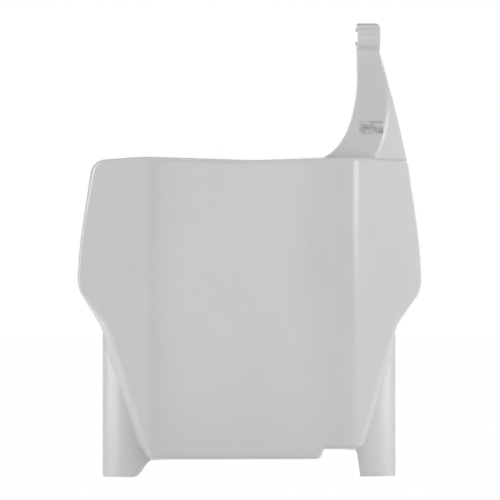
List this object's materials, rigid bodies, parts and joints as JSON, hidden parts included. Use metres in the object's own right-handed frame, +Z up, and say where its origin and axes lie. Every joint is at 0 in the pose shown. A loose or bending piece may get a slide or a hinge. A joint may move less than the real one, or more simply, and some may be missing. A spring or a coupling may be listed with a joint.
{
  "type": "racing number board",
  "caption": "White moulded front number board for an off-road motorcycle, with a bowed panel, swept-back wings, curved lower legs and an offset arm ending in a crossbar snap hook.",
  "frame": {"origin": "on the axis of the snap hook that takes the handlebar's crossbar, at the middle of the hook's width", "axes": "+X to the viewer's right along the crossbar, -Y the way the board faces, +Z up"},
  "size_m": [0.25, 0.0385, 0.3279],
  "materials": {
    "moulded_plastic": "satin white moulded polypropylene",
    "label_foil": "brushed silver foil, blank"
  },
  "bodies": {
    "root": {"number_board": "moulded_plastic", "foil_label": "label_foil"}
  },
  "joints": []
}
